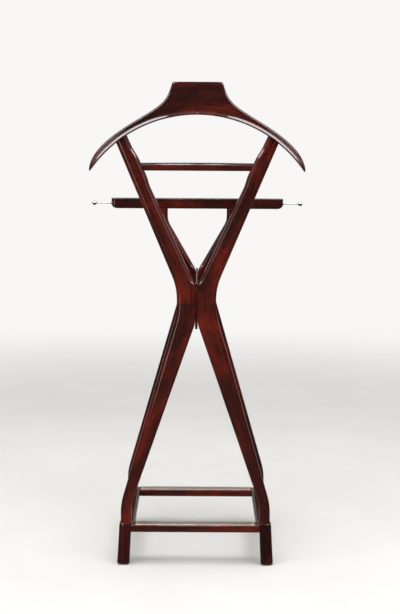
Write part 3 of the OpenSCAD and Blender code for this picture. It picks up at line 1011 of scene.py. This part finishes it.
def rubbed_metal(name, dark, light, tarnish, along, rough):
    """A metal with fine scratches along one direction, and a little tarnish."""
    s = Shader(name, Metallic=1.0)
    place = object_place(s)
    lines = s.noise(place, along, detail=3, roughness=0.6)
    cloud = s.noise(place, (60, 60, 60), detail=4, roughness=0.6, distortion=0.5)
    specks = s.noise(place, (700, 700, 700), detail=2)
    metal = s.ramp(lines, (0.3, dark), (0.7, light))
    dull = s.ramp(cloud, (0.48, 0.0), (0.78, 0.7))
    metal = s.mix(dull, metal, (*tarnish, 1))
    metal = s.mix(s.ramp(specks, (0.66, 0.0), (0.75, 0.5)), metal, (*tarnish, 1))
    roughness = s.maths("ADD", s.ramp(lines, (0.3, rough), (0.7, rough + 0.12)),
                        s.maths("MULTIPLY", dull, 0.25))
    height = s.maths("ADD", s.maths("MULTIPLY", lines, 0.7), s.maths("MULTIPLY", cloud, 0.6))
    return s.feed(Base_Color=metal, Roughness=roughness, Normal=s.bump(height, 0.00006, 0.5))


def nylon():
    s = Shader("glide", IOR=1.5, Subsurface_Weight=0.1)
    place = object_place(s)
    scuff = s.noise(place, (400, 400, 400), detail=5, roughness=0.65)
    dirt = s.noise(place, (90, 90, 90), detail=3)
    colour = s.ramp(scuff, (0.35, (0.66, 0.63, 0.56)), (0.6, (0.80, 0.78, 0.72)))
    colour = s.mix(s.ramp(dirt, (0.5, 0.0), (0.8, 0.6)), colour, (0.42, 0.38, 0.32, 1))
    rough = s.ramp(scuff, (0.3, 0.4), (0.7, 0.62))
    return s.feed(Base_Color=colour, Roughness=rough, Normal=s.bump(scuff, 0.0002, 0.4))


def pale_floor():
    """A matt pale floor that fades into the backdrop away from the stand."""
    s = Shader("floor", IOR=1.3, Specular_IOR_Level=0.0)
    place = object_place(s)
    mist = s.noise(place, (3, 3, 3), detail=4)
    colour = s.ramp(mist, (0.3, (0.66, 0.65, 0.635)), (0.7, (0.70, 0.69, 0.675)))
    s.feed(Base_Color=colour, Roughness=s.ramp(mist, (0.3, 0.75), (0.7, 0.85)))
    away = s.add("VectorMath", {0: place}, operation="LENGTH").outputs["Value"]
    fade = s.add("MapRange", {0: away}, {1: FLOOR_FADE[0], 2: FLOOR_FADE[1]},
                 interpolation_type="SMOOTHSTEP").outputs[0]
    output = s.tree.nodes["Material Output"]
    mixer = s.add("MixShader", {0: fade, 1: s.surface.outputs[0],
                                2: s.add("BsdfTransparent").outputs[0]})
    s.tree.links.new(mixer.outputs[0], output.inputs["Surface"])
    return s.material


WOOD = mahogany()
BEECH = beech()
BRASS = rubbed_metal(
    "brass", (0.42, 0.32, 0.27), (0.60, 0.48, 0.41), (0.22, 0.15, 0.11), (40, 1500, 400), 0.26
)
STEEL = rubbed_metal(
    "steel", (0.42, 0.41, 0.38), (0.62, 0.60, 0.56), (0.20, 0.19, 0.17), (60, 900, 900), 0.2
)
NYLON = nylon()

# ---- The stand, piece by piece ----


def wood(piece, *nodes):
    return place(piece, "frame", "mahogany", WOOD, *nodes)


def offset_for(number):
    """A different part of the plank for each piece."""
    return (0.173 * number, 0.091 * number, 0.347 * number)


# Tone per piece, from the painted shaded copy of the wood (0) to the painted lit copy (1): the
# rear arms and legs are darker as painted shade behind the front frame, and right-hand pieces are
# a little lighter than left-hand ones
TONES_AND_SHADE = {"front_arm": 0.66, "front_leg": 0.73, "rear_arm": 0.36, "rear_leg": 0.38}

for number, (kind, tone_and_shade) in enumerate(TONES_AND_SHADE.items()):
    for name, side in SIDES.items():
        node = f"{kind}_{name}"
        is_arm = kind == "front_arm"
        piece = limb(
            node, side, offset_for(2 * number + (side > 0)), tone_and_shade + 0.03 * side,
            (SEAM_END, SEAM_END), 1.5 * MM if is_arm else 0.0,
        )
        wood(piece, node)

for number, (end, name) in enumerate((e, n) for e in ("front", "rear") for n in SIDES):
    node = f"{end}_{name}_foot"
    wood(limb(node, SIDES[name], offset_for(10 + number), 0.08, (ROUND_END, ROUND_END)), node)

for name, tone_and_shade in (("left", 0.36), ("right", 0.40)):
    wood(hanger_half(name, tone_and_shade, offset_for(16 + SIDES[name])), f"hanger_{name}")

CROSSBAR_EASE = ((3.0 * MM, 2.5 * MM), (8.0 * MM, 7.0 * MM, 1.0))
RAIL_EASE = ((8.0 * MM, 7.0 * MM, 1.0), (2.0 * MM, 1.8 * MM))
wood(bar_between_limbs("crossbar", CROSSBAR_EASE, 0.79, offset_for(20)), "crossbar")
# The rear shoe rail's lower tone is painted shade behind the front one
for number, end in enumerate(("front", "rear")):
    node = f"{end}_shoe_rail"
    wood(bar_between_limbs(node, RAIL_EASE, 0.79 - 0.24 * number, offset_for(22 + number)), node)
for name in SIDES:
    node = f"{name}_side_rail"
    low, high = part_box(node)
    low_ease, top_ease = (2.5 * MM, 2.5 * MM), (4.5 * MM, 3.5 * MM)
    easing = (low_ease, low_ease, top_ease, top_ease)
    wood(along_y(f"{node}.wood", low, high, easing, SEAM_END, offset_for(26), 0.32), node)
low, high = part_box("waist_board")
board_ease, board_top = (0.6 * MM, 0.8 * MM), (2.9 * MM, 3.2 * MM, 1.0)
board_easing = (board_ease, board_ease, board_top, board_top)
wood(along_y("waist_board.wood", low, high, board_easing, SEAM_END, offset_for(28), 0.20),
     "waist_board")
wood(trouser_bar(offset_for(30), 0.38), "trouser_bar")

for name, side in SIDES.items():
    bodies = {"bush": "frame"}
    for kind, piece in tie_rod_pieces(name, side).items():
        place(piece, bodies.get(kind, f"{name}_rod"), "steel", STEEL, f"{name}_{kind}")

SCREWS = solids_of("strip_screws")
for end in ("front", "rear"):
    node = f"{end}_shoe_strip"
    place(strip(node, SCREWS), "frame", "brass", BRASS, node)
turns = random.Random(7)
screws = [slotted_screw(*solid, turns.uniform(0, math.pi)) for solid in SCREWS]
place(join("strip_screws.metal", screws), "frame", "brass", BRASS, "strip_screws")
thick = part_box("front_left_foot")[0].z
feet = [glide(*solid, thick) for solid in solids_of("glides")]
place(join("glides.nylon", feet), "frame", "glide", NYLON, "glides")

for node in frame["nodes"].values():
    if node.name.endswith("dowels"):
        node.data.materials.clear()
        node.data.materials.append(BEECH)

# ---- Floor, light and camera ----


FLOOR_RADII = (0.6, 1.5, 3.0, 5.0)
FLOOR_SIDES = 48
FLOOR_FADE = (1.3, 3.6)


def floor():
    """A round, pale floor that polished faces don't mirror."""
    points = [
        (r * math.cos(a), r * math.sin(a), 0)
        for r in FLOOR_RADII
        for a in np.linspace(0, 2 * math.pi, FLOOR_SIDES, endpoint=False)
    ]
    faces = ring_faces(len(FLOOR_RADII), FLOOR_SIDES, False) + [tuple(range(FLOOR_SIDES))]
    mesh = bpy.data.meshes.new("floor")
    mesh.from_pydata(points, [], faces)
    made = bpy.data.objects.new("floor", mesh)
    bpy.context.scene.collection.objects.link(made)
    made.data.materials.append(pale_floor())
    made.visible_glossy = False


def lamp(name, at, towards, size, radiance, lit):
    """A soft rectangular lamp that lights only the "shade" or shows only in the "gloss"."""
    data = bpy.data.lights.new(name, "AREA")
    data.shape = "RECTANGLE"
    data.size, data.size_y = size
    data.energy = radiance * math.pi * size[0] * size[1]
    made = bpy.data.objects.new(name, data)
    bpy.context.scene.collection.objects.link(made)
    made.location = at
    made.rotation_euler = (Vector(towards) - Vector(at)).to_track_quat("-Z", "Y").to_euler()
    made.visible_diffuse = lit != "gloss"
    made.visible_glossy = lit != "shade"


# Brightness by height, from straight down (0) to straight up (1), and by depth behind
WORLD_GLOW = ((0.0, 0.12), (0.46, 0.07), (0.50, 0.03), (0.60, 0.05), (0.72, 0.34), (0.84, 0.62))
WALL_GLOW = ((0.15, 0.0), (0.7, 1.0))
WALL_SHARE = 0.22
AIR_TINT = (1.0, 0.99, 0.975, 1)
BACKDROP_TINT = (0.955, 0.945, 0.93, 1)
BACKDROP_STRENGTH = 0.98


def world():
    """A studio: dark at the horizon, bright overhead, with a plain pale backdrop."""
    made = bpy.data.worlds.new("studio")
    w = Wires(made)
    air = w.tree.nodes["Background"]
    direction = w.add("TexCoord").outputs["Generated"]
    parts = w.add("SeparateXYZ", {0: direction}).outputs
    height = w.maths("MULTIPLY_ADD", parts["Z"], 0.5, 0.5)
    wall = w.maths("MULTIPLY", w.ramp(parts["Y"], *WALL_GLOW), WALL_SHARE)
    w.give(air, "Strength", w.maths("ADD", w.ramp(height, *WORLD_GLOW), wall))
    w.give(air, "Color", AIR_TINT)
    backdrop = w.add(
        "Background", values={"Color": BACKDROP_TINT, "Strength": BACKDROP_STRENGTH}
    )
    seen_directly = w.add("LightPath").outputs["Is Camera Ray"]
    mixer = w.add("MixShader", {0: seen_directly, 1: air.outputs[0], 2: backdrop.outputs[0]})
    w.give(w.tree.nodes["World Output"], "Surface", mixer.outputs[0])
    bpy.context.scene.world = made


CAMERA_BACK = 2.8688
CAMERA_HEIGHT = 0.9878
CAMERA_ASIDE = 0.008
CAMERA_PITCH = 7.753
CAMERA_ROLL = 0.34
CAMERA_LENS = 76.22
CAMERA_SENSOR = 36


def camera():
    data = bpy.data.cameras.new("camera")
    data.sensor_width = CAMERA_SENSOR
    data.lens = CAMERA_LENS
    made = bpy.data.objects.new("camera", data)
    bpy.context.scene.collection.objects.link(made)
    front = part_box("front_leg_left")[0].y
    made.matrix_world = (
        Matrix.Translation((CAMERA_ASIDE, front - CAMERA_BACK, CAMERA_HEIGHT))
        @ Matrix.Rotation(math.radians(90 - CAMERA_PITCH), 4, "X")
        @ Matrix.Rotation(math.radians(CAMERA_ROLL), 4, "Z")
    )
    bpy.context.scene.camera = made


# Each lamp's place, what it faces, its size and its radiance
SHADE_LAMPS = {
    "ceiling": ((0.1, -0.7, 3.0), (0, -0.2, 0), (2.6, 2.0), 6.0),
    "fill": ((-2.4, -1.6, 1.6), (0, -0.1, 0.6), (1.2, 1.6), 2.6),
}
GLOSS_LAMPS = {
    "window_right": ((1.5, -2.6, 1.42), (0.1, -0.1, 0.95), (1.3, 0.55), 2.6),
    "window_left": ((-1.5, -2.6, 1.30), (-0.1, -0.1, 0.85), (1.3, 0.40), 2.6),
    "doorway": ((-1.5, -2.7, 0.45), (-0.1, -0.1, 0.85), (1.0, 0.5), 4.0),
}
# Overhead panels that face straight down: each one's middle and width along X
PANELS = {
    "panel_left": (-1.85, 3.0), "tube_left": (-0.10, 0.135),
    "tube_right": (0.07, 0.07), "panel_right": (1.85, 3.0),
}
PANEL_Y, PANEL_Z, PANEL_DEPTH, PANEL_RADIANCE = -1.5, 2.9, 1.8, 12.0

floor()
world()
camera()
for name, settings in SHADE_LAMPS.items():
    lamp(name, *settings, "shade")
for name, (middle, width) in PANELS.items():
    at, below = (middle, PANEL_Y, PANEL_Z), (middle, PANEL_Y, 0)
    lamp(name, at, below, (width, PANEL_DEPTH), PANEL_RADIANCE, "gloss")
for name, settings in GLOSS_LAMPS.items():
    lamp(name, *settings, "gloss")
bpy.context.scene.view_settings.view_transform = "Standard"
